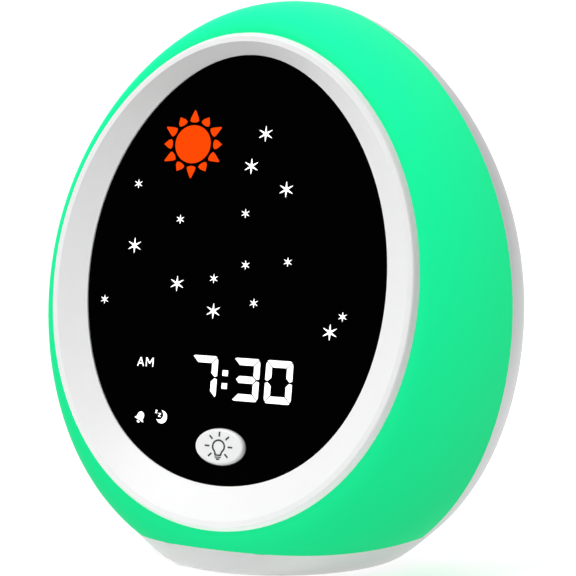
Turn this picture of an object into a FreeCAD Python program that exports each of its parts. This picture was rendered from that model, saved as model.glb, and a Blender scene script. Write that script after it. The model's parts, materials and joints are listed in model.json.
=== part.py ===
import FreeCAD, Part
import os
import math
from FreeCAD import Vector as V

# ---------------------------------------------------------------- driving dimensions (mm)
# Design frame: origin at the centre of the bezel outline, X right, Y towards the back, Z up.
TILT = 8.279            # the face leans back by this angle (degrees)
WB, HB = 59.799, 69.615           # bezel outline, half width and half height
KB = (-0.033, -0.001, -0.026)     # egg shape terms of the bezel outline
RIM_H = 1.765           # bezel rim in front of the shell joint
RIM_IN = 1.087          # bezel side wall taper
RIM_W = 1.627           # width of the flat rim
WF, HF, QF = 48.994, 60.441, 3.217  # visible edge of the black face
KF = (-0.059, 0.013, -0.061)
REC = 3.428             # dish depth, rim to face edge
WG, HG, QG = 69.213, 83.973, -5.085  # largest outline, joint of shell and rear cover
KG = (-0.054, 0.004, -0.069)
YG, TG = 38.360, 1.363
GP = 2.209              # fullness of the glowing shell
DD, DQ, DP = 45.804, -0.629, 2.091   # rear dome depth, drop, fullness
WALL = 2.2
Z_SEAM = -74.372        # shell / base joint
Z_BOT = -81.320         # underside of the base
FOOT = 0.6              # feet stand this far below the base
Y_BACK = 74.0           # flat back
AB, BB_, YB = 35.0, 36.5, 30.5       # base underside ellipse
LENS_Y = 2.2            # lens front, behind the shell joint plane
LENS_T = 2.0
BTN_P, BTN_Q, BTN_A, BTN_B = 0.4, -46.35, 7.95, 5.05   # light button centre and half sizes
NPT = 28                # points on each outline

os.makedirs("parts", exist_ok=True)
X0 = V(0, 0, 0)


# ---------------------------------------------------------------- helpers
def outline(W, H, q0, k, off=0.0, n=NPT):
    out = []
    for i in range(n):
        f = 2 * math.pi * i / n - math.pi / 2
        s = math.sin(f)
        out.append(((W + off) * math.cos(f) * (1 + k[0] * s + k[1] * s * s + k[2] * s ** 3), q0 + (H + off) * s))
    return out


def wire(pts):
    c = Part.BSplineCurve()
    c.interpolate(Points=[V(*p) for p in pts], PeriodicFlag=True)
    return Part.Wire([c.toShape()])


def plane_pts(ol, y):
    return [(p, y, q) for p, q in ol]


def prism(ol, y0, y1):
    w = wire(plane_pts(ol, y0))
    return Part.Face(w).extrude(V(0, y1 - y0, 0))


def loft(sections, ruled=False):
    return Part.makeLoft([wire(s) for s in sections], True, ruled)


def tilt(shape, ang=TILT):
    s = shape.copy()
    s.rotate(X0, V(1, 0, 0), -ang)
    return s


def poly(pts, y0, y1):
    ps = [V(p, y0, q) for p, q in pts]
    w = Part.makePolygon(ps + [ps[0]])
    return Part.Face(w).extrude(V(0, y1 - y0, 0))


def box(x0, x1, y0, y1, z0, z1):
    return Part.makeBox(x1 - x0, y1 - y0, z1 - z0, V(x0, y0, z0))


def cyl(x, z, r, y0, y1):
    return Part.makeCylinder(r, y1 - y0, V(x, y0, z), V(0, 1, 0))


def vcyl(x, y, r, z0, z1):
    return Part.makeCylinder(r, z1 - z0, V(x, y, z0), V(0, 0, 1))


def rbox(x0, x1, y0, y1, z0, z1, r):
    b = box(x0, x1, y0, y1, z0, z1)
    es = [e for e in b.Edges if abs(e.tangentAt(e.FirstParameter).y) > 0.99]
    return b.makeFillet(r, es)


def fuse(lst):
    s = lst[0]
    if len(lst) > 1:
        s = s.multiFuse(lst[1:])
    return s


def cutall(s, lst):
    return s.cut(Part.makeCompound(lst)) if lst else s


def ellipse_ring(ao, bo, ai, bi, zc, y0, y1):
    def el(a, b):
        return [(a * math.cos(2 * math.pi * i / 32), zc + b * math.sin(2 * math.pi * i / 32)) for i in range(32)]
    return prism(el(ao, bo), y0, y1).cut(prism(el(ai, bi), y0 - 1, y1 + 1))


def screw(p, d, head_r, head_h, shaft_r, length):
    """pan head screw: p is under the head, d points along the shaft"""
    d = V(*d)
    p = V(*p)
    head = Part.makeCylinder(head_r, head_h, p, d * -1)
    top = p - d * head_h
    es = [e for e in head.Edges if abs((e.CenterOfMass - top).dot(d)) < 1e-3 and e.Length > 1]
    try:
        head = head.makeFillet(head_h * 0.4, es)
    except Exception:
        pass
    shaft = Part.makeCylinder(shaft_r, length, p - d * 0.1, d)
    s = head.fuse(shaft)
    # cross recess
    a = V(1, 0, 0) if abs(d.x) < 0.5 else V(0, 1, 0)
    b = d.cross(a)
    a = b.cross(d)
    for u, w in ((a, b), (b, a)):
        L, wd, dp = head_r * 1.1, head_r * 0.26, head_h * 0.55
        c = top + d * dp
        pts = [c + u * (L / 2) + w * (wd / 2), c - u * (L / 2) + w * (wd / 2), c - u * (L / 2) - w * (wd / 2), c + u * (L / 2) - w * (wd / 2)]
        f = Part.Face(Part.makePolygon(pts + [pts[0]]))
        s = s.cut(f.extrude(d * (-dp - 1)))
    return s


# ---------------------------------------------------------------- outer body
def b_pts(off=0.0, dy=0.0):
    t = math.radians(TILT)
    return [(p, q * math.sin(t) + dy * math.cos(t), q * math.cos(t) - dy * math.sin(t)) for p, q in outline(WB, HB, 0, KB, off)]


def g_pts(off=0.0):
    t = math.radians(TG)
    return [(p, YG + q * math.sin(t), q * math.cos(t)) for p, q in outline(WG, HG, QG, KG, off)]


def shell_loft(goff, dy):
    B, G = b_pts(0.0, dy), g_pts(goff)
    secs = []
    for tau in (0, 16, 32, 48, 63, 77, 90):
        a = math.radians(tau)
        v = 1 - math.cos(a) ** (2 / GP)
        g = math.sin(a) ** (2 / GP)
        if tau == 90:
            v, g = 1.0, 1.0
        secs.append([(b[0] + (c[0] - b[0]) * g, b[1] + (c[1] - b[1]) * v, b[2] + (c[2] - b[2]) * g) for b, c in zip(B, G)])
    return loft(secs)


def dome_loft(off, dd):
    G = g_pts(off)
    cz = sum(p[2] for p in G) / len(G)
    secs = []
    for tau in (0, 13, 27, 41, 54, 66):
        a = math.radians(tau)
        u = math.sin(a) ** (2 / DP)
        k = math.cos(a) ** (2 / DP)
        secs.append([(x * k, y * k + YG * (1 - k) + dd * u, cz + DQ * u * 5 + (z - cz) * k) for x, y, z in G])
    return loft(secs)


BIG_LOW = box(-150, 150, -60, 150, -200, Z_SEAM)
outer_s = shell_loft(0, 0)
inner_s = shell_loft(-WALL, WALL)
outer_d = dome_loft(0, DD)
inner_d = dome_loft(-WALL, DD - WALL)
outer_d = outer_d.cut(box(-150, 150, Y_BACK, 200, -150, 150))
inner_d = inner_d.cut(box(-150, 150, Y_BACK - WALL, 200, -150, 150))
try:
    es = [e for e in outer_d.Edges if e.BoundBox.YMin > Y_BACK - 0.01 and e.BoundBox.YMax < Y_BACK + 0.01]
    outer_d = outer_d.makeFillet(4.0, es)
except Exception as ex:
    print("back edge left unfilleted", ex)
print("lofts", outer_s.isValid(), inner_s.isValid(), outer_d.isValid(), inner_d.isValid())

NODES = {}

# ---------------------------------------------------------------- section at the base joint
full_s = outer_s.cut(BIG_LOW)
full_d = outer_d.cut(BIG_LOW)


def seam_outline(off):
    yc = 28.0
    segs_ = []
    for sh in (outer_s, outer_d):
        for w in sh.slice(V(0, 0, 1), Z_SEAM):
            pts = w.discretize(400)
            segs_ += [((p.x, p.y - yc), (q.x, q.y - yc)) for p, q in zip(pts, pts[1:])]
    out = []
    n = 40
    for i in range(n):
        a = 2 * math.pi * i / n - math.pi / 2
        c, s_ = math.cos(a), math.sin(a)
        best = 0.0
        for (x1, y1), (x2, y2) in segs_:
            c1, c2 = c * y1 - s_ * x1, c * y2 - s_ * x2
            if c1 * c2 <= 0 and c1 != c2:
                f = c1 / (c1 - c2)
                best = max(best, c * (x1 + f * (x2 - x1)) + s_ * (y1 + f * (y2 - y1)))
        out.append(((best + off) * c, yc + (best + off) * s_))
    return out


# index i and its mirror: angle a -> pi - a
def sym(ol, yc=28.0):
    n = len(ol)
    rr = [math.hypot(x, y - yc) for x, y in ol]
    res = []
    for i in range(n):
        a = 2 * math.pi * i / n - math.pi / 2
        b = math.pi - a
        j = int(round((b + math.pi / 2) / (2 * math.pi) * n)) % n
        r = 0.5 * (rr[i] + rr[j])
        res.append((r * math.cos(a), yc + r * math.sin(a)))
    return res


top_ol = sym(seam_outline(0.0))


def zsec(ol, z):
    return [(x, y, z) for x, y in ol]


def base_sections(off, zlist):
    n = len(top_ol)
    secs = []
    for z, w in zlist:
        pts = []
        for i in range(n):
            a = 2 * math.pi * i / n - math.pi / 2
            x1, y1 = top_ol[i]
            x2, y2 = AB * math.cos(a), YB + BB_ * math.sin(a) - (4.9 * math.sin(a) ** 4 if a > 0 and a < math.pi else 0.0)
            x, y = x1 + (x2 - x1) * w, y1 + (y2 - y1) * w
            dx, dy = math.cos(a), math.sin(a)
            pts.append((x + off * dx, y + off * dy, z))
        secs.append(pts)
    return secs


H_ = Z_SEAM - Z_BOT
base_out = loft(base_sections(0.0, [(Z_SEAM, 0.0), (Z_SEAM - H_ * 0.25, 0.22), (Z_SEAM - H_ * 0.5, 0.45), (Z_SEAM - H_ * 0.75, 0.70), (Z_SEAM - H_ * 0.92, 0.90), (Z_BOT, 1.04)]), True)
base_in = loft(base_sections(-WALL, [(Z_SEAM + 0.5, -0.05), (Z_SEAM - H_ * 0.34, 0.30), (Z_BOT + 2.0, 0.75)]), True)
lip_h = 3.0


def scaled(k, z0, z1):
    return Part.Face(wire(zsec([(x * k, 28 + (y - 28) * k) for x, y in top_ol], z0))).extrude(V(0, 0, z1 - z0))


lip_low = scaled(0.935, Z_SEAM - 1.6, Z_SEAM).cut(scaled(0.86, Z_SEAM - 2.6, Z_SEAM + 1))
lip_up = scaled(0.90, Z_SEAM - 0.4, Z_SEAM + lip_h).cut(scaled(0.86, Z_SEAM - 1.4, Z_SEAM + lip_h + 1))
SCR_B = [(14.0, 56.0), (-14.0, 56.0), (15.0, 1.0), (-15.0, 1.0)]
FEET = [(22.0, 16.0), (-22.0, 16.0), (22.0, 45.0), (-22.0, 45.0)]
base = base_out.cut(base_in)
bos = [vcyl(x, y, 4.0, Z_BOT + 0.8, Z_SEAM - 0.15) for x, y in SCR_B]
base = fuse([base, lip_low, lip_up] + [b.common(base_out) for b in bos])
cuts = []
for x, y in SCR_B:
    cuts.append(vcyl(x, y, 1.7, Z_BOT - 1, Z_SEAM + 5))
    cuts.append(vcyl(x, y, 3.2, Z_BOT - 1, Z_BOT + 2.6))
for x, y in FEET:
    cuts.append(vcyl(x, y, 5.1, Z_BOT - 1, Z_BOT + 0.8))
base = cutall(base, cuts)
# keep the lip clear of the shell bosses
base = base.cut(Part.makeCompound([vcyl(x, y, 4.3, Z_SEAM - 0.1, Z_SEAM + 6) for x, y in SCR_B] +
                                  [box(x - 1.7, x + 1.7, min(y, (80 if y > 20 else -20)), max(y, (80 if y > 20 else -20)), Z_SEAM - 0.1, Z_SEAM + 6) for x, y in SCR_B]))
NODES["base"] = base
feet = []
for x, y in FEET:
    f = vcyl(x, y, 5.0, Z_BOT - FOOT, Z_BOT + 0.8)
    es = [e for e in f.Edges if e.BoundBox.ZMax < Z_BOT - FOOT + 0.01 and e.Length > 5]
    feet.append(f.makeFillet(0.3, es))
NODES["rubber_feet"] = Part.makeCompound(feet)
NODES["base_screws"] = Part.makeCompound([screw((x, y, Z_BOT + 2.6), (0, 0, 1), 2.7, 1.6, 1.2, 9.5) for x, y in SCR_B])

# ---------------------------------------------------------------- glowing shell
shell = full_s.cut(inner_s)
open_f = tilt(prism(outline(WB, HB, 0, KB, -3.0), -6, 9))
shell = shell.cut(open_f)
boss = []
for x, y in SCR_B[2:]:
    boss.append(vcyl(x, y, 3.6, Z_SEAM, Z_SEAM + 8.5))
    boss.append(box(x - 1.1, x + 1.1, y - 14, y, Z_SEAM, Z_SEAM + 4.5).common(full_s))
shell = fuse([shell] + boss)
shell = cutall(shell, [vcyl(x, y, 1.3, Z_SEAM - 1, Z_SEAM + 7.5) for x, y in SCR_B[2:]])
NODES["night_light_shell"] = shell

# ---------------------------------------------------------------- rear cover
cover = full_d.cut(inner_d)
tg = math.radians(TG)


def g_prism(off, y0, y1):
    s = prism(outline(WG, HG, QG, KG, off), y0, y1)
    s.rotate(X0, V(1, 0, 0), -TG)
    s.translate(V(0, YG, 0))
    return s


root = g_prism(-1.0, 0.0, 2.0).common(outer_d).cut(g_prism(-4.0, -1, 3))
tong = g_prism(-2.5, -4.0, 0.6).cut(g_prism(-4.0, -6, 3))
lipc = fuse([root, tong]).cut(box(-150, 150, -60, 150, -200, Z_SEAM + lip_h + 0.9))
cover = fuse([cover, lipc])
CS = [(27.0, 25.0), (-27.0, 25.0), (33.5, -30.0), (-33.5, -30.0)]     # cover screws (x, z)
BTN_X = [-32.5, -19.5, -6.5, 6.5, 19.5, 32.5]
BTN_Z = 4.0
BS = [(38.0, 11.5), (-38.0, 11.5), (38.0, -4.5), (-38.0, -4.5)]       # main board screws
SPK = (0.0, 27.0)
BX, BZ0, BZ1 = 25.0, -47.5, -11.5       # battery door half width, bottom, top
add = [cyl(x, z, 4.6, 48.0, Y_BACK - 1.5) for x, z in CS]
add += [cyl(x, z, 2.4, 61.8, Y_BACK - 1.5) for x, z in BS]
add += [cyl(SPK[0], SPK[1], 16.4, Y_BACK - WALL - 2.4, Y_BACK - 1.5).cut(cyl(SPK[0], SPK[1], 15.0, 60, Y_BACK - WALL))]
add += [cyl(x, z, 2.4, 66.0, Y_BACK - 1.5) for x, z in ((-17.2, 33.5), (17.2, 33.5))]
add += [vcyl(x, y, 3.6, Z_SEAM, Z_SEAM + 8.5) for x, y in SCR_B[:2]]
add += [box(x - 1.1, x + 1.1, y, y + 14, Z_SEAM, Z_SEAM + 4.5).common(full_d) for x, y in SCR_B[:2]]
# rails for the power board
add += [box(-15.2, -12.2, 56.0, 72.5, -61.0, -55.2).common(full_d), box(12.2, 15.2, 56.0, 72.5, -61.0, -55.2).common(full_d)]
cover = fuse([cover] + add)
cuts = [cyl(x, z, 1.7, 40, 90) for x, z in CS] + [cyl(x, z, 3.2, 51.0, 90) for x, z in CS]
cuts += [cyl(x, z, 1.0, 61, 69) for x, z in BS]
cuts += [cyl(x, z, 1.0, 64, 71) for x, z in ((-17.2, 33.5), (17.2, 33.5))]
cuts += [cyl(x, BTN_Z, 4.05, 66, 80) for x in BTN_X]
# shallow dish round each push button
for x in BTN_X:
    cuts.append(Part.makeCone(5.3, 4.7, 0.6, V(x, Y_BACK + 0.01, BTN_Z), V(0, -1, 0)))
# sound holes: rings of small holes
cuts.append(cyl(SPK[0], SPK[1], 0.9, 66, 80))
for rr, n in ((3.4, 6), (6.6, 12), (9.8, 18)):
    for i in range(n):
        a = 2 * math.pi * i / n
        cuts.append(cyl(SPK[0] + rr * math.cos(a), SPK[1] + rr * math.sin(a), 0.9, 66, 80))
# battery door opening with a ledge, finger notch
cuts.append(rbox(-BX, BX, Y_BACK - 2.4, 80, BZ0, BZ1, 3.0))
cuts.append(rbox(-BX + 1.6, BX - 1.6, 66, 80, BZ0 + 1.6, BZ1 - 1.6, 2.0))
cuts.append(Part.makeCylinder(9.0, 9.0, V(0, Y_BACK + 7.5, BZ1 - 2.0), V(0, 0, 1)))
# charging port opening
cuts.append(rbox(-4.9, 4.9, 66, 80, -57.45, -53.55, 1.6))
cuts.append(box(-12.5, 12.5, 54.0, 71.9, -59.0, -57.0))
cuts += [vcyl(x, y, 1.3, Z_SEAM - 1, Z_SEAM + 7.5) for x, y in SCR_B[:2]]
cover = cutall(cover, cuts)
NODES["rear_cover"] = cover

# ---------------------------------------------------------------- front bezel (built square to the face, then leaned back)
F_OL = outline(WF, HF, QF, KF)
r1 = [(p, -RIM_H, q) for p, q in outline(WB, HB, 0, KB, -RIM_IN - RIM_W)]
fe = [(p, REC - RIM_H, q) for p, q in F_OL]
wall = loft([plane_pts(outline(WB, HB, 0, KB, 0), 0.0), plane_pts(outline(WB, HB, 0, KB, -RIM_IN * 0.80), -RIM_H * 0.86), plane_pts(outline(WB, HB, 0, KB, -RIM_IN * 1.12), -RIM_H)], True)
RING_Y = 4.25
skirt = prism(outline(WB, HB, 0, KB, -3.35), -0.5, RING_Y)
# dish void, continued forward of the rim so the cut is clean
dish = loft([plane_pts(outline(WB, HB, 0, KB, -RIM_IN - RIM_W), -RIM_H), plane_pts(F_OL, REC - RIM_H)], True)
bezel = wall.fuse(skirt).cut(dish)
bezel = bezel.cut(prism(F_OL, 0.5, 9))
POCK = outline(WF, HF, QF, KF, 1.15)
bezel = bezel.cut(prism(POCK, LENS_Y - 0.02, 9))


def ring_pt(f, w=0.5):
    s = math.sin(math.radians(f))
    c = math.cos(math.radians(f))
    def at(W, H, q0, k):
        return W * c * (1 + k[0] * s + k[1] * s * s + k[2] * s ** 3), q0 + H * s
    a = at(WB - 3.35, HB - 3.35, 0, KB)
    b = at(WF + 1.15, HF + 1.15, QF, KF)
    return a[0] * w + b[0] * (1 - w), a[1] * w + b[1] * (1 - w)


DSCR = [ring_pt(f) for f in (22, 158, 188, 352, 243, 297)]
POSTS = [ring_pt(f, 0.45) for f in (6, 174, 222, 318)]
bezel = cutall(bezel, [cyl(x, z, 0.95, 1.6, 9) for x, z in DSCR])
bezel = cutall(bezel, [cyl(x, z, 1.1, 1.6, 9) for x, z in POSTS])
NODES["front_bezel"] = tilt(bezel)
NODES["cover_screws"] = Part.makeCompound([screw((x, 51.0, z), (0, -1, 0), 2.8, 1.8, 1.12, 13.5) for x, z in CS])

# ---------------------------------------------------------------- graphics of the face, all in the face plane (x, q)
def circle_pts(cx, cz, r, n=36, a0=0.0, a1=360.0, close=True):
    m = n if close else n + 1
    return [(cx + r * math.cos(math.radians(a0 + (a1 - a0) * i / n)), cz + r * math.sin(math.radians(a0 + (a1 - a0) * i / n))) for i in range(m)]


def asterisk(cx, cz, r, w, sx=1.1):
    pts = []
    ri = w / 2 / math.sin(math.radians(30))
    for k in range(6):
        a = math.radians(90 + 60 * k)
        for dx, dy in ((r * 0.62, -w * 0.34), (r * 0.95, -w * 0.15), (r, 0), (r * 0.95, w * 0.15), (r * 0.62, w * 0.34)):
            pts.append((cx + sx * (dx * math.cos(a) - dy * math.sin(a)), cz + dx * math.sin(a) + dy * math.cos(a)))
        b = a + math.radians(30)
        pts.append((cx + sx * ri * math.cos(b), cz + ri * math.sin(b)))
    return pts


LARGE = [(7.25, 41.4), (3.36, 32.3), (15.23, 26.0), (-34.0, 8.85), (-18.4, -1.5), (-5.55, -8.7), (32.4, -12.7)]
SMALL = [(-34.3, 26.7), (-19.0, 16.8), (2.6, 19.0), (3.9, 4.6), (-6.2, 0.4), (-43.0, -7.1), (7.55, -5.9), (17.5, 5.95), (36.0, -8.3)]
g_star = [asterisk(x, z, 2.25, 0.56) for x, z in LARGE] + [asterisk(x, z, 1.35, 0.40) for x, z in SMALL]
# sun: plain disc with twelve even tapering rays
SUN = (-16.7, 38.3)
SUN_SX = 1.1
g_sun = [[(SUN[0] + SUN_SX * (x - SUN[0]), z) for x, z in circle_pts(SUN[0], SUN[1], 5.45, 60)]]
for k in range(12):
    a = math.radians(90 + 30 * k)
    r0, r1_, w0, w1_ = 6.3, (9.8 if k % 2 == 0 else 8.9), 2.75, 0.55
    g_sun.append([(SUN[0] + SUN_SX * (r * math.cos(a) - w * math.sin(a)), SUN[1] + r * math.sin(a) + w * math.cos(a)) for r, w in ((r0 + 0.35, -w0 / 2), (r0 + 1.2, -w0 * 0.43), (r1_ - 0.3, -w1_ / 2), (r1_, 0), (r1_ - 0.3, w1_ / 2), (r0 + 1.2, w0 * 0.43), (r0 + 0.35, w0 / 2), (r0, w0 * 0.3), (r0 - 0.1, 0), (r0, -w0 * 0.3))])

# seven segment digits
DIG_Q0, DIG_H, DIG_W, SEG = -33.2, 11.9, 8.7, 1.95


def segs(x0, which):
    x1, z0 = x0 + DIG_W, DIG_Q0
    z1, zm, g, c = z0 + DIG_H, z0 + DIG_H / 2, 0.19, 0.75
    s, h = SEG, SEG / 2
    out = []
    if "a" in which:
        out.append([(x0 + c + g, z1), (x1 - c - g, z1), (x1 - g - 0.2, z1 - 0.25), (x1 - s - g, z1 - s), (x0 + s + g, z1 - s), (x0 + g + 0.2, z1 - 0.25)])
    if "d" in which:
        out.append([(x0 + c + g, z0), (x0 + g + 0.2, z0 + 0.25), (x0 + s + g, z0 + s), (x1 - s - g, z0 + s), (x1 - g - 0.2, z0 + 0.25), (x1 - c - g, z0)])
    if "g" in which:
        out.append([(x0 + h + g, zm), (x0 + s + g, zm + h), (x1 - s - g, zm + h), (x1 - h - g, zm), (x1 - s - g, zm - h), (x0 + s + g, zm - h)])

    def side(xa, xb, za, zb, up):
        # xa is the outer edge, xb the inner one, za the outer end, zb the middle end
        k = 1 if up else -1
        return [(xa, za - k * (g + 1.15)), (xa + (xb - xa) * 0.07, za - k * (g + 0.62)), (xa + (xb - xa) * 0.2, za - k * (g + 0.34)), (xb, za - k * (s + g)), (xb, zb + k * (h + g)), (xa + (xb - xa) * 0.45, zb + k * g), (xa, zb + k * (g + 0.25))]
    if "b" in which:
        out.append(side(x1, x1 - s, z1, zm, True))
    if "c" in which:
        out.append(side(x1, x1 - s, z0, zm, False))
    if "f" in which:
        out.append(side(x0, x0 + s, z1, zm, True))
    if "e" in which:
        out.append(side(x0, x0 + s, z0, zm, False))
    return out


DX = [-11.3, 2.5, 13.1]
g_dig = segs(DX[0], "abc") + segs(DX[1], "abcdg") + segs(DX[2], "abcdef")
for z in (-25.8, -29.4):
    g_dig.append([(-0.9, z - 0.8), (0.9, z - 0.8), (0.9, z + 0.8), (-0.9, z + 0.8)])


def bar(x1, z1, x2, z2, w):
    L = math.hypot(x2 - x1, z2 - z1)
    nx, nz = -(z2 - z1) / L * w / 2, (x2 - x1) / L * w / 2
    return [(x1 + nx, z1 + nz), (x1 - nx, z1 - nz), (x2 - nx, z2 - nz), (x2 + nx, z2 + nz)]


def glyph(bars, y0, y1):
    return fuse([poly(b, y0, y1) for b in bars])


YA, YZ = LENS_Y + 0.03, LENS_Y + LENS_T
a0, a1, zb0, zb1, tk = -29.9, -27.45, -25.55, -23.05, 0.38


def status(y0, y1):
    o = []
    am = (a0 + a1) / 2
    o.append(glyph([bar(a0 + 0.2, zb0, am, zb1, tk), bar(am, zb1, a1 - 0.2, zb0, tk), bar(a0 + 0.62, zb0 + 0.85, a1 - 0.62, zb0 + 0.85, 0.38)], y0, y1))
    m0, m1 = -26.95, -24.25
    mm = (m0 + m1) / 2
    o.append(glyph([bar(m0 + 0.22, zb0, m0 + 0.22, zb1 + 0.1, tk), bar(m1 - 0.22, zb0, m1 - 0.22, zb1 + 0.1, tk), bar(m0 + 0.3, zb1, mm, zb0 + 0.9, tk), bar(mm, zb0 + 0.9, m1 - 0.3, zb1, tk)], y0, y1))
    # bell: dome, flared rim and clapper, leaning a little
    bx, bz, rot = -27.4, -40.0, math.radians(-24)

    def R(pts):
        return [(bx + (x - bx) * math.cos(rot) - (z - bz) * math.sin(rot), bz + (x - bx) * math.sin(rot) + (z - bz) * math.cos(rot)) for x, z in pts]
    body = [(bx - 1.75, bz - 0.95), (bx - 1.2, bz - 0.35), (bx - 1.12, bz + 0.45)] + circle_pts(bx, bz + 0.45, 1.12, 12, 180, 0, False)[1:-1] + [(bx + 1.12, bz + 0.45), (bx + 1.2, bz - 0.35), (bx + 1.75, bz - 0.95)]
    o.append(poly(R(body), y0, y1))
    o.append(poly(R(circle_pts(bx, bz - 1.25, 0.55, 12, 180, 360, False)), y0, y1))
    # crescent and two small z shapes
    mx, mz = -20.1, -39.5
    c = poly(circle_pts(mx, mz, 1.85, 40), y0, y1).cut(poly(circle_pts(mx - 0.95, mz + 0.6, 1.45, 40), y0 - 1, y1 + 1))
    o += list(c.Solids)
    for zx, zz, s in ((-20.85, -39.0, 0.85), (-22.0, -38.1, 0.7)):
        o.append(glyph([bar(zx - s / 2, zz + s / 2, zx + s / 2, zz + s / 2, 0.24), bar(zx - s / 2, zz - s / 2, zx + s / 2, zz - s / 2, 0.24), bar(zx - s / 2, zz - s / 2, zx + s / 2, zz + s / 2, 0.28)], y0, y1))
    return o


sun_s = [poly(g, YA, YZ) for g in g_sun]
star_s = [poly(g, YA, YZ) for g in g_star]
dig_s = [poly(g, YA, YZ) for g in g_dig]
stat_s = status(YA, LENS_Y + 1.1)
BTN_OL = [(BTN_P + BTN_A * math.cos(2 * math.pi * i / 24), BTN_Q + BTN_B * math.sin(2 * math.pi * i / 24)) for i in range(24)]


def btn_ol(off):
    return [(BTN_P + (BTN_A + off) * math.cos(2 * math.pi * i / 24), BTN_Q + (BTN_B + off) * math.sin(2 * math.pi * i / 24)) for i in range(24)]


lens = prism(outline(WF, HF, QF, KF, 1.0), LENS_Y, LENS_Y + LENS_T)
win = [poly(g, LENS_Y - 1, YZ + 1) for g in g_sun + g_star + g_dig] + status(LENS_Y - 1, LENS_Y + 1.1)
lens = cutall(lens, win + [prism(btn_ol(0.35), 0, 9)])
NODES["display_lens"] = tilt(lens)
NODES["sun_light_guide"] = tilt(Part.makeCompound(sun_s))
NODES["star_light_guides"] = tilt(Part.makeCompound(star_s))
NODES["time_digits"] = tilt(Part.makeCompound(dig_s))
NODES["status_icons"] = tilt(Part.makeCompound(stat_s))

# light mask behind the lens: keeps each lamp's light in its own well
M0, M1 = 4.35, 10.0
mask = prism(outline(WB, HB, 0, KB, -3.7), M0, M1)
hole = [prism(btn_ol(1.6), 0, 12)]
hole += [cyl(SUN[0], SUN[1], 10.2, 3, 12)]
hole += [cyl(x, z, 2.6, 3, 12) for x, z in LARGE] + [cyl(x, z, 1.7, 3, 12) for x, z in SMALL]
hole += [box(x - 0.3, x + DIG_W + 0.3, 3, 12, DIG_Q0 - 0.3, DIG_Q0 + DIG_H + 0.3) for x in DX]
hole += [box(-1.4, 1.4, 3, 12, -30.7, -24.6), box(-30.4, -23.8, 3, 12, -26.0, -22.6), box(-29.5, -25.3, 3, 12, -42.2, -38.0), box(-23.2, -17.9, 3, 12, -42.0, -37.8)]
mask = cutall(mask, hole + [cyl(x, z, 1.3, 0, 20) for x, z in DSCR + POSTS])
NODES["light_mask"] = tilt(mask)

# display board with its lamps, inside the ring of screws
PB0, PB1 = 10.15, 11.75
board = prism(outline(WF, HF, QF, KF, -3.0), PB0, PB1)
BSC = [(0.0, 56.5), (-40.0, 20.0), (40.0, 20.0), (-30.0, -45.0), (30.0, -45.0)]
board = cutall(board, [cyl(x, z, 1.2, 9, 13) for x, z in BSC])
NODES["display_board"] = tilt(board)
led_at = [(SUN[0] + r * math.cos(a), SUN[1] + r * math.sin(a)) for r, a in ((0, 0), (6, 0), (6, 1.57), (6, 3.14), (6, 4.71))]
led_at += LARGE + SMALL
for x0, w in zip(DX, ("abc", "abcdg", "abcdef")):
    sp = {"a": (x0 + DIG_W / 2, DIG_Q0 + DIG_H - 1), "d": (x0 + DIG_W / 2, DIG_Q0 + 1), "g": (x0 + DIG_W / 2, DIG_Q0 + DIG_H / 2),
          "b": (x0 + DIG_W - 1, DIG_Q0 + DIG_H * 0.73), "c": (x0 + DIG_W - 1, DIG_Q0 + DIG_H * 0.27), "f": (x0 + 1, DIG_Q0 + DIG_H * 0.73), "e": (x0 + 1, DIG_Q0 + DIG_H * 0.27)}
    led_at += [sp[c] for c in w]
led_at += [(0, -25.8), (0, -29.4), (-27.1, -24.3), (-27.4, -40.1), (-20.6, -39.8)]
NODES["display_leds"] = tilt(Part.makeCompound([box(x - 0.8, x + 0.8, PB0 - 0.8, PB0, z - 0.4, z + 0.4) for x, z in led_at]))
hb, sb = 1.2, 0.85
NODES["display_screws"] = Part.makeCompound([tilt(screw((x, M1, z), (0, -1, 0), 2.0, 1.2, 0.85, 7.6)) for x, z in DSCR] +
                                            [tilt(screw((x, PB1, z), (0, -1, 0), 2.0, 1.2, 0.85, 4.0)) for x, z in BSC])
# pilot holes for the board screws in the mask
NODES["light_mask"] = NODES["light_mask"].cut(Part.makeCompound([tilt(cyl(x, z, 0.95, 6.5, 12)) for x, z in BSC]))
# switch of the light button
NODES["light_button_switch"] = tilt(fuse([box(BTN_P - 3, BTN_P + 3, 7.4, PB0, BTN_Q - 3, BTN_Q + 3), cyl(BTN_P, BTN_Q, 1.7, 6.9, 7.6)]))

# light button: domed oval cap with flange and stem
cap = loft([plane_pts(btn_ol(0.0), 5.0), plane_pts(btn_ol(0.0), 1.75), plane_pts(btn_ol(-0.22), 1.3), plane_pts(btn_ol(-0.75), 1.02)])
flange = prism(btn_ol(1.1), 4.6, 5.6)
recess = prism(btn_ol(-1.5), 2.6, 9)
btn = fuse([cap.cut(recess), flange.cut(recess), box(BTN_P - 6.3, BTN_P + 6.3, 2.4, 5.4, BTN_Q - 0.7, BTN_Q + 0.7), cyl(BTN_P, BTN_Q, 1.6, 2.4, 5.9), box(BTN_P - 0.7, BTN_P + 0.7, 2.4, 5.4, BTN_Q - 3.4, BTN_Q + 3.4)])
# bulb symbol: sits in a shallow pocket of the cap
def ring_arc(cx, cz, r, w, a0, a1, y0, y1, n=28):
    o = circle_pts(cx, cz, r + w / 2, n, a0, a1, False)
    i = circle_pts(cx, cz, r - w / 2, n, a0, a1, False)
    return poly(o + i[::-1], y0, y1)


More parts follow.
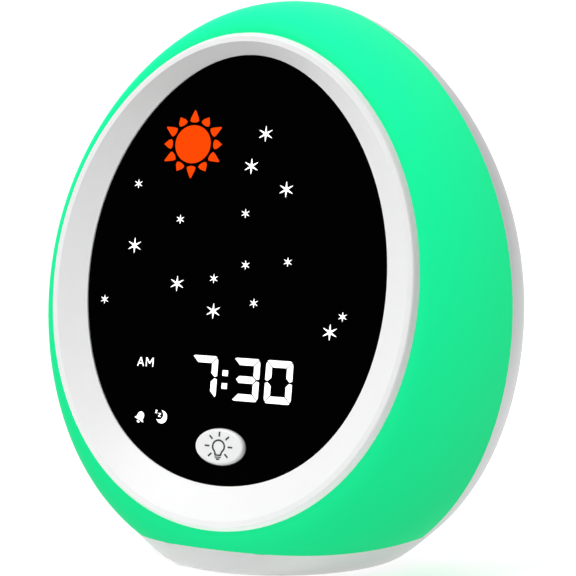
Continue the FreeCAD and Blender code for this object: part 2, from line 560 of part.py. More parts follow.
def bulb(y0, y1):
    cx, cz, kx = BTN_P, BTN_Q + 0.1, 1.1
    o = []
    arc_o = circle_pts(0, 0, 1.98, 30, -50, 230, False)
    arc_i = circle_pts(0, 0, 1.52, 30, -50, 230, False)
    outl = [(0.98, -2.62)] + arc_o + [(-0.98, -2.62)]
    inl = [(0.52, -2.2)] + arc_i + [(-0.52, -2.2)]

    def P(l):
        return [(cx + kx * x, cz + z) for x, z in l]
    ring_s = poly(P(outl), y0, y1).cut(poly(P(inl), y0 - 1, y1 + 1))
    o.append(ring_s)
    o.append(poly(P([(-0.92, -3.12), (0.92, -3.12), (0.92, -2.82), (-0.92, -2.82)]), y0, y1))
    o.append(poly(P([(-0.72, -3.3), (-0.3, -3.75), (0.3, -3.75), (0.72, -3.3)]), y0, y1))
    for a in (-45, 0, 45, 90, 135, 180, 225):
        c, s = math.cos(math.radians(a)), math.sin(math.radians(a))
        o.append(poly(P(bar(2.75 * c, 2.75 * s, 4.1 * c, 4.1 * s, 0.46)), y0, y1))
    return o


NODES["light_button"] = tilt(cutall(btn, bulb(0.0, 1.15)))
NODES["light_button_symbol"] = tilt(Part.makeCompound(bulb(0.97, 1.15)))

# ---------------------------------------------------------------- chassis behind the display, night light ring
def el(a, b, zc, n=32):
    return [(a * math.cos(2 * math.pi * i / n), zc + b * math.sin(2 * math.pi * i / n)) for i in range(n)]


CH0, CH1 = 30.0, 32.0
plate = prism(el(57, 68, -4.0), CH0, CH1)
front = box(-150, 150, -60, CH1, -150, 150)
cp = [tilt(cyl(x, z, 3.3, M1 + 0.1, 60)).common(front) for x, z in POSTS]
rp = [cyl(x, z, 3.8, CH1 - 0.5, 47.8) for x, z in CS]
ribs = [box(-50, 50, CH1 - 0.2, CH1 + 4, -5, -3.4), box(-0.8, 0.8, CH1 - 0.2, CH1 + 4, -60, 52)]
chassis = fuse([plate] + cp + rp + ribs)
win2 = [rbox(-20, 20, 20, 34, 18, 34, 4), rbox(-26, 26, 20, 34, -62, -45, 5)]
chassis = cutall(chassis, [tilt(cyl(x, z, 2.35, M1 + 3.0, 60)) for x, z in POSTS] + [tilt(cyl(x, z, 1.2, 0, 30)) for x, z in POSTS] + [cyl(x, z, 1.2, 36, 60) for x, z in CS] + win2)
NODES["inner_chassis"] = chassis
NODES["chassis_screws"] = Part.makeCompound([tilt(screw((x, M1 + 3.0, z), (0, -1, 0), 2.1, 1.3, 1.0, 10.5)) for x, z in POSTS])
ring = ellipse_ring(44, 54, 31, 41, -4.0, CH0 - 1.75, CH0 - 0.15)
LR = [(37.5 * math.cos(math.radians(a)), -4.0 + 47.5 * math.sin(math.radians(a))) for a in range(0, 360, 30)]
RS = [(37.5 * math.cos(math.radians(a)), -4.0 + 47.5 * math.sin(math.radians(a))) for a in (45, 135, 225, 315)]
ring = cutall(ring, [cyl(x, z, 1.3, 20, 35) for x, z in RS])
NODES["night_light_board"] = ring
NODES["night_light_leds"] = Part.makeCompound([fuse([box(x - 1.75, x + 1.75, CH0 - 2.55, CH0 - 1.75, z - 1.4, z + 1.4), cyl(x, z, 1.1, CH0 - 3.3, CH0 - 2.5)]) for x, z in LR])
NODES["night_light_screws"] = Part.makeCompound([screw((x, CH0 - 1.75, z), (0, 1, 0), 2.1, 1.2, 0.95, 3.2) for x, z in RS])
NODES["inner_chassis"] = NODES["inner_chassis"].cut(Part.makeCompound([cyl(x, z, 1.0, 25, 31.9) for x, z in RS]))
dif = ellipse_ring(48, 58, 32, 42, -4.0, 23.2, 24.8)
legs = [cyl(46.6 * math.cos(math.radians(a)), -4.0 + 56.6 * math.sin(math.radians(a)), 1.2, 24.5, CH0) for a in (30, 150, 210, 330)]
dif = fuse([dif] + legs)
dif = cutall(dif, [tilt(cyl(x, z, 3.8, 8, 40)) for x, z in POSTS])
NODES["led_diffuser"] = dif

# ---------------------------------------------------------------- rear electronics
MB0, MB1 = 60.0, 61.6
mb = cutall(box(-42, 42, MB0, MB1, -8.5, 15.8), [cyl(x, z, 1.3, 55, 65) for x, z in BS])
NODES["main_board"] = mb
NODES["main_board_screws"] = Part.makeCompound([screw((x, MB0, z), (0, 1, 0), 2.0, 1.2, 0.9, 6.5) for x, z in BS])
NODES["tact_switches"] = Part.makeCompound([fuse([box(x - 3, x + 3, MB1, MB1 + 3.2, BTN_Z - 3, BTN_Z + 3), cyl(x, BTN_Z, 1.7, MB1 + 3.1, MB1 + 3.7)]) for x in BTN_X])
chips = [box(-7, 7, MB0 - 1.5, MB0, -4, 10), box(12, 20, MB0 - 1.2, MB0, 0, 8), box(-24, -14, MB0 - 3.2, MB0, 1, 7), box(24, 28, MB0 - 1.0, MB0, -2, 2), cyl(30, 8, 3.0, MB0 - 7, MB0), cyl(-31, 3, 3.0, MB0 - 7, MB0)]
NODES["board_parts"] = Part.makeCompound(chips)

# push buttons of the back: round caps with a moulded sign on each
def mark(i, y0, y1, x):
    z = BTN_Z
    if i == 0:       # clock hands: set time
        return fuse([ring_arc(x, z, 1.75, 0.34, 0, 359.5, y0, y1), poly(bar(x, z - 0.15, x, z + 1.1, 0.34), y0, y1).fuse(poly(bar(x - 0.15, z, x + 0.85, z, 0.34), y0, y1))]).Solids
    if i == 1:       # bell: set alarm
        return [poly([(x - 1.5, z - 0.9), (x - 1.0, z - 0.3), (x - 0.95, z + 0.5), (x - 0.5, z + 1.25), (x + 0.5, z + 1.25), (x + 0.95, z + 0.5), (x + 1.0, z - 0.3), (x + 1.5, z - 0.9)], y0, y1), poly(bar(x - 0.45, z - 1.4, x + 0.45, z - 1.4, 0.4), y0, y1)]
    if i == 2:       # minus
        return [poly(bar(x - 1.5, z, x + 1.5, z, 0.46), y0, y1)]
    if i == 3:       # plus
        return [poly(bar(x - 1.5, z, x + 1.5, z, 0.46), y0, y1).fuse(poly(bar(x, z - 1.5, x, z + 1.5, 0.46), y0, y1))]
    if i == 4:       # speaker: volume
        return [poly([(x - 1.6, z - 0.5), (x - 1.6, z + 0.5), (x - 0.9, z + 0.5), (x, z + 1.3), (x, z - 1.3), (x - 0.9, z - 0.5)], y0, y1), ring_arc(x, z, 1.1, 0.3, -48, 48, y0, y1)]
    return list(poly(circle_pts(x, z, 1.6, 36), y0, y1).cut(poly(circle_pts(x + 0.95, z + 0.6, 1.35, 36), y0 - 1, y1 + 1)).Solids)


names = ["button_time", "button_alarm", "button_minus", "button_plus", "button_volume", "button_nap"]
marks = []
for i, (nm, x) in enumerate(zip(names, BTN_X)):
    c = cyl(x, BTN_Z, 3.7, 71.0, 75.0)
    c = c.makeFillet(0.6, [e for e in c.Edges if e.BoundBox.YMin > 74.99])
    b = fuse([c, cyl(x, BTN_Z, 4.9, 70.2, 71.4), cyl(x, BTN_Z, 1.6, 66.3, 70.5)])
    b = cutall(b, mark(i, 74.8, 76, x))
    NODES[nm] = b
    marks.append(mark(i, 74.8, 75.05, x))
for nm, m in zip(names, marks):
    NODES[nm + "_sign"] = Part.makeCompound(m)

# speaker
sx, sz = SPK
fr = Part.makeCone(8.6, 13.6, 4.6, V(sx, 65.2, sz), V(0, 1, 0)).fuse(cyl(sx, sz, 14.4, 69.6, 70.6))
fr = fr.cut(Part.makeCone(7.6, 12.6, 4.4, V(sx, 66.2, sz), V(0, 1, 0))).cut(cyl(sx, sz, 12.4, 69.0, 72)).cut(cyl(sx, sz, 5.2, 64, 72))
ears = [fuse([box(min(x, x * 0.55), max(x, x * 0.55), 69.6, 70.6, z - 2.4, z + 2.4), cyl(x, z, 2.4, 69.6, 70.6)]) for x, z in ()]
NODES["speaker_frame"] = fr
cone = Part.makeCone(5.0, 11.9, 2.6, V(sx, 67.4, sz), V(0, 1, 0)).cut(Part.makeCone(4.6, 11.5, 2.6, V(sx, 67.8, sz), V(0, 1, 0)))
surr = Part.makeTorus(12.15, 0.55, V(sx, 70.1, sz), V(0, 1, 0))
dome = Part.makeSphere(4.9, V(sx, 65.3, sz)).common(cyl(sx, sz, 4.5, 67.4, 71)).cut(Part.makeSphere(4.4, V(sx, 65.3, sz)))
NODES["speaker_cone"] = fuse([cone, dome])
NODES["speaker_magnet"] = fuse([cyl(sx, sz, 8.4, 61.6, 65.1), cyl(sx, sz, 4.3, 65.0, 66.2)])
NODES["speaker_gasket"] = cyl(sx, sz, 14.6, 70.65, 71.75).cut(cyl(sx, sz, 12.6, 70, 72))
clamp = fuse([cyl(sx, sz, 14.6, 68.4, 69.5).cut(cyl(sx, sz, 13.0, 68, 70)), rbox(12.9, 19.6, 64.6, 65.9, 31.0, 36.0, 1.0), rbox(-19.6, -12.9, 64.6, 65.9, 31.0, 36.0, 1.0), box(12.9, 14.2, 64.6, 69.0, 31.2, 33.6), box(-14.2, -12.9, 64.6, 69.0, 31.2, 33.6)])
clamp = clamp.cut(Part.makeCompound([cyl(x, z, 1.2, 60, 70) for x, z in ((-17.2, 33.5), (17.2, 33.5))] + [fr]))
NODES["speaker_clamp"] = clamp
NODES["speaker_screws"] = Part.makeCompound([screw((x, 64.6, z), (0, 1, 0), 1.9, 1.1, 0.9, 5.5) for x, z in ((-17.2, 33.5), (17.2, 33.5))])

# battery box with three cells
Q0, Q1 = 57.5, Y_BACK - WALL - 0.1
bb = rbox(-28.0, 28.0, Q0, Q1, BZ0 - 1.2, BZ1 + 1.2, 1.5)
bb = bb.cut(rbox(-BX + 0.9, BX - 0.9, Q0 + 1.6, 80, BZ0 + 0.9, BZ1 - 0.9, 1.2))
for zc in (-35.3, -23.7):
    bb = bb.fuse(box(-BX + 0.9, BX - 0.9, Q0 + 1.2, Q0 + 4.2, zc - 0.35, zc + 0.35))
NODES["battery_box"] = bb
cells, caps = [], []
for k, zc in enumerate((-41.1, -29.5, -17.9)):
    d = 1 if k % 2 == 0 else -1
    c = Part.makeCylinder(5.2, 43.5, V(-21.75 - 0.3 * d, Q0 + 7.2, zc), V(1, 0, 0))
    nub = Part.makeCylinder(1.9, 1.2, V(d * (21.75) - 0.3 * d if d > 0 else -21.75 + 0.3, Q0 + 7.2, zc), V(d, 0, 0))
    cells.append(c.fuse(nub))
NODES["batteries"] = Part.makeCompound(cells)
con = []
for k, zc in enumerate((-41.1, -29.5, -17.9)):
    d = 1 if k % 2 == 0 else -1
    con.append(box(min(d * 23.7, d * 24.05), max(d * 23.7, d * 24.05), Q0 + 2.4, Q0 + 12, zc - 4, zc + 4))
    x0, x1 = -d * 22.6, -d * 24.05
    coil = Part.makeCone(3.6, 2.2, abs(x1 - x0) - 0.2, V(x1, Q0 + 7.2, zc), V(d, 0, 0))
    coil = coil.cut(Part.makeCone(3.0, 1.6, abs(x1 - x0) + 0.2, V(x1 + d * 0.35, Q0 + 7.2, zc), V(d, 0, 0)))
    con.append(coil)
NODES["battery_contacts"] = Part.makeCompound(con)
door = rbox(-BX + 0.35, BX - 0.35, Y_BACK - 2.0, Y_BACK, BZ0 + 0.35, BZ1 - 0.35, 2.65)
door = door.fuse(rbox(-8.0, 8.0, Y_BACK - 3.6, Y_BACK - 1.9, BZ0 + 2.0, BZ0 + 3.4, 0.5))
door = door.cut(Part.makeCylinder(9.0, 9.0, V(0, Y_BACK + 7.5, BZ1 - 2.0), V(0, 0, 1)))
door = door.cut(Part.makeCompound([box(-9, 9, Y_BACK - 0.35, Y_BACK + 1, BZ1 - 6.0 - 1.5 * i, BZ1 - 5.3 - 1.5 * i) for i in range(4)]))
NODES["battery_door"] = door
foam = rbox(-14, 14, Y_BACK - 2.9, Y_BACK - 2.0, -33.5, -25.5, 1.0)
NODES["door_foam_pad"] = foam

# power board with charging port
NODES["power_board"] = box(-12.2, 12.2, 54.5, 71.6, -58.75, -57.15)
so = rbox(-4.5, 4.5, 66.2, 73.6, -57.1, -53.9, 1.45)
so = so.cut(rbox(-4.15, 4.15, 67.2, 80, -56.75, -54.25, 1.15))
so = so.fuse(box(-3.3, 3.3, 67.0, 72.6, -55.85, -55.15))
NODES["usb_socket"] = so
NODES["power_parts"] = Part.makeCompound([box(-10, -5, 57, 62, -57.15, -55.3), box(5.5, 9.5, 58, 61, -57.15, -55.9), box(-2.5, 2.5, 56, 60, -57.15, -55.95)])


# leads
def lead(pts, r, n=11, m=10):
    c = Part.BSplineCurve()
    c.interpolate([V(*p) for p in pts])
    a, b = c.FirstParameter, c.LastParameter
    secs = []
    for i in range(n):
        t = a + (b - a) * i / (n - 1)
        o, d = c.value(t), c.tangent(t)[0]
        w = d.cross(V(1, 0, 0)).normalize()
        u = w.cross(d).normalize()
        secs.append([tuple(o + u * (r * math.cos(2 * math.pi * k / m)) + w * (r * math.sin(2 * math.pi * k / m))) for k in range(m)])
    return loft(secs)


NODES["speaker_leads"] = Part.makeCompound([lead([(x, 61.2, 18.4), (x * 1.2, 57.0, 17.0), (x * 1.1, 57.6, 12.0), (x, 59.7, 11.6)], 0.55) for x in (-3.0, 3.0)])
NODES["power_leads"] = Part.makeCompound([lead([(x, 55.6, -56.2), (x * 1.3, 52.0, -45.0), (x * 1.5, 51.5, -20.0), (x * 1.2, 56.0, -8.0), (x, 59.7, -6.6)], 0.6) for x in (-3.4, 3.4)])
NODES["battery_leads"] = Part.makeCompound([lead([(x, 57.2, -16.5), (x * 1.08, 54.6, -12.0), (x * 1.1, 55.8, -7.4), (x, 59.7, -6.2)], 0.6) for x in (-22.0, 22.0)])
# flat ribbon from the main board to the display board, through the upper window of the chassis
path = [(59.2, 13.0), (54.0, 17.0), (44.0, 24.0), (34.0, 28.0), (26.0, 29.0), (20.0, 30.0), (17.3, 31.0)]
c = Part.BSplineCurve()
c.interpolate([V(0, y, z) for y, z in path])
upper, lower = [], []
for i in range(25):
    t = c.FirstParameter + (c.LastParameter - c.FirstParameter) * i / 24
    o, d = c.value(t), c.tangent(t)[0]
    nrm = V(0, -d.z, d.y).normalize()
    upper.append(o + nrm * 0.45)
    lower.append(o - nrm * 0.45)
prof = [p + V(6.2, 0, 0) for p in upper + lower[::-1]]
NODES["ribbon_cable"] = Part.Face(Part.makePolygon(prof + [prof[0]])).extrude(V(8.4, 0, 0))

# ---------------------------------------------------------------- to the part frame, write
ymin = min(v.y for v in NODES["front_bezel"].tessellate(0.02)[0])
ymax = Y_BACK + 1.05
SHIFT = V(0, -(ymin + ymax) / 2, -(Z_BOT - FOOT))
print("shift", SHIFT, "y", ymin, ymax)
bad = 0
for name in sorted(NODES):
    s = NODES[name].copy()
    s.translate(SHIFT)
    sols = s.Solids
    if len(sols) == 1:
        s = sols[0]
    else:
        s = Part.makeCompound(sols)
    ok = s.isValid()
    if not ok:
        bad += 1
    bb_ = s.BoundBox
    print("%-24s solids %2d valid %s vol %8.1f  x %.1f..%.1f y %.1f..%.1f z %.1f..%.1f" % (name, len(sols), ok, s.Volume, bb_.XMin, bb_.XMax, bb_.YMin, bb_.YMax, bb_.ZMin, bb_.ZMax))
    s.exportStep("parts/%s.step" % name)
print("nodes", len(NODES), "invalid", bad)
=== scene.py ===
import bpy
import json
import math
from mathutils import Vector, Matrix

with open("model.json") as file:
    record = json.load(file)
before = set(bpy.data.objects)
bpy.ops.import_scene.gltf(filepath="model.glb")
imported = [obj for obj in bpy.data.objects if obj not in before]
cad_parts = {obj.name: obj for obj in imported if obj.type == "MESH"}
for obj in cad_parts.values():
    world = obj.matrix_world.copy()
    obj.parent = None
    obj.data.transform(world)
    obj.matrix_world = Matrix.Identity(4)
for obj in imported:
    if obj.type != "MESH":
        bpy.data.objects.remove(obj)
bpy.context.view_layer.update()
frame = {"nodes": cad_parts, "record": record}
nodes = frame["nodes"]

# ---------------------------------------------------------------- measures, design frame in mm
TILT = 8.279
SHIFT = (0.0, -31.727294, 81.92)
T = math.radians(TILT)


def to_row(x, y, z):
    return Vector(((x + SHIFT[0]) / 1000, (y + SHIFT[1]) / 1000, (z + SHIFT[2]) / 1000))


def face_pt(p, depth, q):
    """a point of the face plane: p to the right, q up the face, depth into the body"""
    return to_row(p, q * math.sin(T) + depth * math.cos(T), q * math.cos(T) - depth * math.sin(T))


# ---------------------------------------------------------------- materials
def lin(c):
    return tuple((v / 12.92 if v <= 0.04045 else ((v + 0.055) / 1.055) ** 2.4) for v in c)


def rgb(r, g, b):
    return lin((r / 255.0, g / 255.0, b / 255.0)) + (1.0,)


def make(name, color, rough=0.4, var=0.03, scale=90.0, grain=900.0, bump=0.04, metallic=0.0, spec=0.5, coat=0.0, emit=None, strength=0.0, sub=0.0, sub_r=(0.004, 0.004, 0.004), dark=None):
    m = bpy.data.materials.new(name)
    m.use_nodes = True
    nt = m.node_tree
    n, l = nt.nodes, nt.links
    b = n["Principled BSDF"]
    tc = n.new("ShaderNodeTexCoord")
    no = n.new("ShaderNodeTexNoise")
    no.inputs["Scale"].default_value = scale
    no.inputs["Detail"].default_value = 4.0
    l.new(tc.outputs["Object"], no.inputs["Vector"])
    ramp = n.new("ShaderNodeValToRGB")
    d = dark if dark is not None else tuple(c * (1 - var) for c in color[:3]) + (1.0,)
    ramp.color_ramp.elements[0].position = 0.35
    ramp.color_ramp.elements[1].position = 0.65
    ramp.color_ramp.elements[0].color = d
    ramp.color_ramp.elements[1].color = color
    l.new(no.outputs["Fac"], ramp.inputs["Fac"])
    l.new(ramp.outputs["Color"], b.inputs["Base Color"])
    fine = n.new("ShaderNodeTexNoise")
    fine.inputs["Scale"].default_value = grain
    fine.inputs["Detail"].default_value = 3.0
    l.new(tc.outputs["Object"], fine.inputs["Vector"])
    mr = n.new("ShaderNodeMapRange")
    mr.inputs["To Min"].default_value = max(0.0, rough - 0.05)
    mr.inputs["To Max"].default_value = min(1.0, rough + 0.05)
    l.new(fine.outputs["Fac"], mr.inputs["Value"])
    l.new(mr.outputs["Result"], b.inputs["Roughness"])
    if bump:
        bp = n.new("ShaderNodeBump")
        bp.inputs["Strength"].default_value = bump
        bp.inputs["Distance"].default_value = 0.0002
        l.new(fine.outputs["Fac"], bp.inputs["Height"])
        l.new(bp.outputs["Normal"], b.inputs["Normal"])
    b.inputs["Metallic"].default_value = metallic
    b.inputs["Specular IOR Level"].default_value = spec
    b.inputs["Coat Weight"].default_value = coat
    b.inputs["Coat Roughness"].default_value = 0.12
    if sub:
        b.inputs["Subsurface Weight"].default_value = sub
        b.inputs["Subsurface Radius"].default_value = (1.0, 1.0, 1.0)
        b.inputs["Subsurface Scale"].default_value = sub_r[0]
    if emit is not None:
        er = n.new("ShaderNodeValToRGB")
        er.color_ramp.elements[0].position = 0.3
        er.color_ramp.elements[1].position = 0.7
        er.color_ramp.elements[0].color = tuple(c * 0.97 for c in emit[:3]) + (1.0,)
        er.color_ramp.elements[1].color = emit
        l.new(no.outputs["Fac"], er.inputs["Fac"])
        l.new(er.outputs["Color"], b.inputs["Emission Color"])
        b.inputs["Emission Strength"].default_value = strength
    return m


def glow_shell_material():
    """translucent mint shell lit from inside, with painted shade on the glow: brighter on up-facing surfaces and over
    the crown, deeper green towards the back and the foot
    """
    m = bpy.data.materials.new("shell_glow")
    m.use_nodes = True
    nt = m.node_tree
    n, l = nt.nodes, nt.links
    b = n["Principled BSDF"]
    tc = n.new("ShaderNodeTexCoord")
    geo = n.new("ShaderNodeNewGeometry")
    sp = n.new("ShaderNodeSeparateXYZ")
    l.new(tc.outputs["Object"], sp.inputs["Vector"])
    sn = n.new("ShaderNodeSeparateXYZ")
    l.new(geo.outputs["Normal"], sn.inputs["Vector"])
    # height term 0 at the foot, 1 at the crown: painted shade that darkens the glow towards the foot
    hz = n.new("ShaderNodeMapRange")
    hz.inputs["From Min"].default_value = 0.02
    hz.inputs["From Max"].default_value = 0.165
    l.new(sp.outputs["Z"], hz.inputs["Value"])
    # depth term 0 at the front edge, 1 at the joint with the rear cover: painted shade that darkens the glow towards
    # the back
    dy = n.new("ShaderNodeMapRange")
    dy.inputs["From Min"].default_value = -0.04
    dy.inputs["From Max"].default_value = 0.012
    l.new(sp.outputs["Y"], dy.inputs["Value"])
    # normal term: painted top light, the glow is brighter where the shell faces up
    painted_top_light = n.new("ShaderNodeMapRange")
    painted_top_light.inputs["From Min"].default_value = -0.8
    painted_top_light.inputs["From Max"].default_value = 1.0
    l.new(sn.outputs["Z"], painted_top_light.inputs["Value"])
    no = n.new("ShaderNodeTexNoise")
    no.inputs["Scale"].default_value = 14.0
    no.inputs["Detail"].default_value = 2.0
    l.new(tc.outputs["Object"], no.inputs["Vector"])

    def math_node(op, a, c):
        k = n.new("ShaderNodeMath")
        k.operation = op
        for i, v in enumerate((a, c)):
            if isinstance(v, (int, float)):
                k.inputs[i].default_value = v
            else:
                l.new(v, k.inputs[i])
        return k.outputs[0]
    # sum of the painted shade and painted light terms that picks the glow colour
    painted_rear_shade = math_node("MULTIPLY", dy.outputs["Result"], -0.30)
    up = math_node("MULTIPLY", painted_top_light.outputs["Result"], 0.62)
    painted_crown_light = math_node("MULTIPLY", hz.outputs["Result"], 0.40)
    nn = math_node("MULTIPLY", no.outputs["Fac"], 0.06)
    f = math_node("ADD", up, painted_crown_light)
    f = math_node("ADD", f, painted_rear_shade)
    f = math_node("ADD", f, nn)
    f = math_node("ADD", f, 0.05)
    # glow ramp from the painted shaded deep green to the painted lit bright mint
    er = n.new("ShaderNodeValToRGB")
    e = er.color_ramp.elements
    e[0].position, e[0].color = 0.0, rgb(22, 206, 126)
    e[1].position, e[1].color = 1.0, rgb(32, 255, 194)
    a = e.new(0.35)
    a.color = rgb(24, 230, 144)
    a = e.new(0.68)
    a.color = rgb(26, 252, 166)
    l.new(f, er.inputs["Fac"])
    l.new(er.outputs["Color"], b.inputs["Emission Color"])
    b.inputs["Emission Strength"].default_value = 0.90
    cr = n.new("ShaderNodeValToRGB")
    cr.color_ramp.elements[0].color = (0.004, 0.075, 0.03, 1)
    cr.color_ramp.elements[1].color = (0.006, 0.11, 0.05, 1)
    l.new(no.outputs["Fac"], cr.inputs["Fac"])
    l.new(cr.outputs["Color"], b.inputs["Base Color"])
    fine = n.new("ShaderNodeTexNoise")
    fine.inputs["Scale"].default_value = 1100.0
    l.new(tc.outputs["Object"], fine.inputs["Vector"])
    mr = n.new("ShaderNodeMapRange")
    mr.inputs["To Min"].default_value = 0.42
    mr.inputs["To Max"].default_value = 0.52
    l.new(fine.outputs["Fac"], mr.inputs["Value"])
    l.new(mr.outputs["Result"], b.inputs["Roughness"])
    bp = n.new("ShaderNodeBump")
    bp.inputs["Strength"].default_value = 0.02
    bp.inputs["Distance"].default_value = 0.0002
    l.new(fine.outputs["Fac"], bp.inputs["Height"])
    l.new(bp.outputs["Normal"], b.inputs["Normal"])
    b.inputs["Specular IOR Level"].default_value = 0.05
    b.inputs["IOR"].default_value = 1.2
    return m


WHITE = (0.86, 0.86, 0.86, 1.0)
M = {}
M["glow_green"] = glow_shell_material()
M["bezel_white"] = make("bezel_satin", (0.88, 0.88, 0.88, 1), 0.34, 0.012, 60, 1400, 0.015, spec=0.4)
# rear cover: white plastic given a grey colour, painted shade for its side turned away from the lamps
M["cover_white"] = make("cover_shaded_white", (0.61, 0.615, 0.62, 1), 0.42, 0.015, 60, 1300, 0.05, spec=0.4)
# base: white plastic given a grey colour, painted shade low on the clock near the floor
M["base_white"] = make("base_shaded_white", (0.60, 0.60, 0.60, 1), 0.42, 0.015, 60, 1300, 0.05, spec=0.4)
M["lens_black"] = make("lens_tint", (0.0004, 0.0004, 0.0004, 1), 0.2, 0.2, 30, 500, 0.0, spec=0.02)
M["icon_orange"] = make("sun_light", (0.12, 0.004, 0.0005, 1), 0.5, 0.04, 300, 900, 0.0, spec=0.02, emit=rgb(255, 74, 0), strength=0.95)
M["icon_white"] = make("star_light", (0.9, 0.9, 0.9, 1), 0.4, 0.02, 300, 900, 0.0, spec=0.1, emit=(1, 1, 1, 1), strength=1.0)
M["digit_white"] = make("digit_light", (0.9, 0.9, 0.9, 1), 0.4, 0.02, 300, 900, 0.0, spec=0.1, emit=(1, 1, 1, 1), strength=1.0)
M["button_white"] = make("button_satin", (0.88, 0.88, 0.88, 1), 0.36, 0.015, 200, 1800, 0.02, spec=0.4)
M["symbol_grey"] = make("symbol_inlay", (0.045, 0.045, 0.048, 1), 0.5, 0.15, 500, 1500, 0.02, spec=0.3)
M["key_grey"] = make("key_satin", (0.70, 0.71, 0.73, 1), 0.45, 0.02, 200, 1500, 0.04)
M["foot_rubber"] = make("foot_rubber", (0.42, 0.42, 0.42, 1), 0.75, 0.2, 200, 1200, 0.2, spec=0.3)
M["screw_steel"] = make("screw_zinc", (0.55, 0.55, 0.57, 1), 0.32, 0.08, 400, 2500, 0.06, metallic=1.0)
M["mask_black"] = make("mask_black", (0.02, 0.02, 0.02, 1), 0.6, 0.15, 80, 900, 0.08)
M["pcb_green"] = make("board_green", (0.01, 0.10, 0.04, 1), 0.35, 0.35, 260, 1300, 0.05)
M["pcb_white"] = make("board_white", (0.72, 0.73, 0.70, 1), 0.35, 0.05, 260, 1300, 0.05)
M["led_white"] = make("lamp_chip", (0.85, 0.80, 0.45, 1), 0.3, 0.1, 400, 1300, 0.0, emit=(0.5, 1.0, 0.8, 1), strength=0.5)
M["switch_black"] = make("switch_black", (0.03, 0.03, 0.03, 1), 0.5, 0.15, 200, 1300, 0.06)
M["chassis_white"] = make("chassis_white", (0.82, 0.82, 0.82, 1), 0.5, 0.03, 80, 1000, 0.08)
M["diffuser_frost"] = make("diffuser_frost", (0.80, 0.86, 0.84, 1), 0.6, 0.04, 120, 1000, 0.08, sub=0.3, sub_r=(0.002,))
M["chip_black"] = make("chip_black", (0.03, 0.03, 0.032, 1), 0.55, 0.2, 300, 1300, 0.05)
M["speaker_steel"] = make("speaker_plate", (0.42, 0.42, 0.43, 1), 0.35, 0.08, 200, 1400, 0.05, metallic=1.0)
M["cone_black"] = make("cone_paper", (0.03, 0.03, 0.03, 1), 0.85, 0.3, 300, 900, 0.3)
M["gasket_foam"] = make("gasket_foam", (0.04, 0.04, 0.04, 1), 0.95, 0.3, 500, 1500, 0.4)
M["battery_grey"] = make("cell_can", (0.20, 0.22, 0.26, 1), 0.35, 0.1, 150, 1200, 0.03, metallic=0.6)
M["contact_nickel"] = make("contact_nickel", (0.70, 0.68, 0.63, 1), 0.28, 0.06, 300, 1800, 0.03, metallic=1.0)
M["wire_red"] = make("wire_red", (0.45, 0.02, 0.02, 1), 0.45, 0.1, 300, 1300, 0.03)
M["ribbon_grey"] = make("ribbon_grey", (0.40, 0.42, 0.44, 1), 0.5, 0.1, 300, 1300, 0.05)

slots = {s["node"]: s["material_slot"] for s in frame["record"]["subparts"]}
for name, ob in nodes.items():
    ob.data.materials.clear()
    ob.data.materials.append(M[slots[name]])

# ---------------------------------------------------------------- floor and light
verts, faces = [], []
prof = [(-4.0, 0.0), (0.55, 0.0)]
for i in range(1, 13):
    a = math.radians(90 * i / 12)
    prof.append((0.55 + 0.5 * math.sin(a), 0.5 - 0.5 * math.cos(a)))
prof.append((1.05, 2.4))
for y, z in prof:
    verts += [(-3.0, y, z), (3.0, y, z)]
for i in range(len(prof) - 1):
    faces.append((2 * i, 2 * i + 1, 2 * i + 3, 2 * i + 2))
me = bpy.data.meshes.new("floor")
me.from_pydata(verts, [], faces)
floor = bpy.data.objects.new("floor", me)
bpy.context.scene.collection.objects.link(floor)
for p in me.polygons:
    p.use_smooth = True


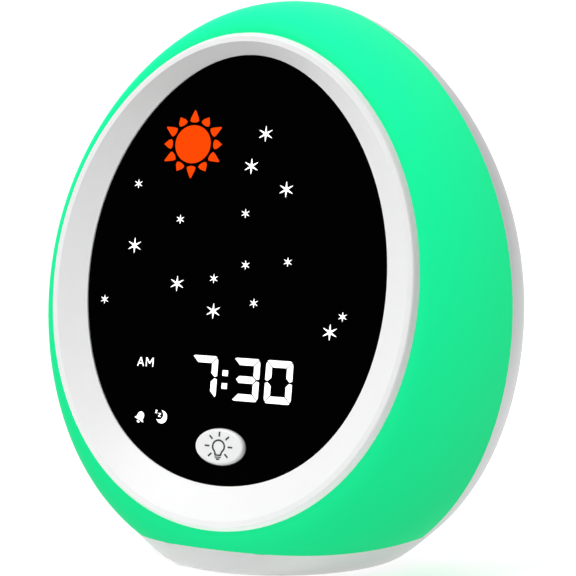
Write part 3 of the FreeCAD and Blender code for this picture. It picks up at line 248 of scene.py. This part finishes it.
def floor_material():
    """pale floor, lit behind and under the clock and fading towards the front"""
    m = make("floor_pale", (0.62, 0.62, 0.62, 1), 0.85, 0.004, 3, 200, 0.0, spec=0.0)
    nt = m.node_tree
    n, l = nt.nodes, nt.links
    tc = n.new("ShaderNodeTexCoord")
    sp = n.new("ShaderNodeSeparateXYZ")
    l.new(tc.outputs["Object"], sp.inputs["Vector"])
    mr = n.new("ShaderNodeMapRange")
    mr.inputs["From Min"].default_value = -0.14
    mr.inputs["From Max"].default_value = -0.05
    mr.inputs["To Min"].default_value = 0.0
    mr.inputs["To Max"].default_value = FLOOR_GLOW
    l.new(sp.outputs["Y"], mr.inputs["Value"])
    b = n["Principled BSDF"]
    b.inputs["Emission Color"].default_value = (1, 1, 1, 1)
    l.new(mr.outputs["Result"], b.inputs["Emission Strength"])
    return m


FLOOR_GLOW = 0.66
me.materials.append(floor_material())

world = bpy.data.worlds.new("studio")
bpy.context.scene.world = world
world.use_nodes = True
world.node_tree.nodes["Background"].inputs["Color"].default_value = (1, 1, 1, 1)
world.node_tree.nodes["Background"].inputs["Strength"].default_value = 0.10


def area(name, loc, target, size, power):
    ld = bpy.data.lights.new(name, "AREA")
    ld.shape = "RECTANGLE"
    ld.size, ld.size_y = size
    ld.energy = power
    ob = bpy.data.objects.new(name, ld)
    bpy.context.scene.collection.objects.link(ob)
    ob.location = loc
    ob.rotation_euler = (Vector(target) - Vector(loc)).to_track_quat("-Z", "Y").to_euler()
    return ob


area("key", (-0.38, -0.78, 1.22), (0, 0, 0.08), (0.6, 0.6), 19.0)
area("top", (0.0, 0.05, 1.2), (0, 0, 0.05), (0.9, 0.9), 2.5)

# ---------------------------------------------------------------- camera, placed as the photo shows the clock
AZ, EL, DIST, SC = math.radians(32.348), math.radians(4.437), 0.600, 3.59
back = Vector((math.sin(AZ) * math.cos(EL), -math.cos(AZ) * math.cos(EL), math.sin(EL)))
right = Vector((math.cos(AZ), math.sin(AZ), 0))
up = Vector((-math.sin(AZ) * math.sin(EL), math.cos(AZ) * math.sin(EL), math.cos(EL)))
F_PX = SC * DIST * 1000
aim = (-back * F_PX + right * (288.0 - 228.138) - up * (288.0 - 280.317)).normalized()
cam_up = (up - aim * up.dot(aim)).normalized()
cam_right = aim.cross(cam_up)
cd = bpy.data.cameras.new("camera")
cd.sensor_width = 36.0
cd.lens = F_PX / 576 * 36.0
cd.clip_start, cd.clip_end = 0.02, 20
cam = bpy.data.objects.new("camera", cd)
bpy.context.scene.collection.objects.link(cam)
rot = Matrix((cam_right, cam_up, -aim)).transposed()
cam.matrix_world = Matrix.Translation(to_row(0, 0, 0) + back * DIST) @ rot.to_4x4()
bpy.context.scene.camera = cam
bpy.context.scene.view_settings.view_transform = "Standard"
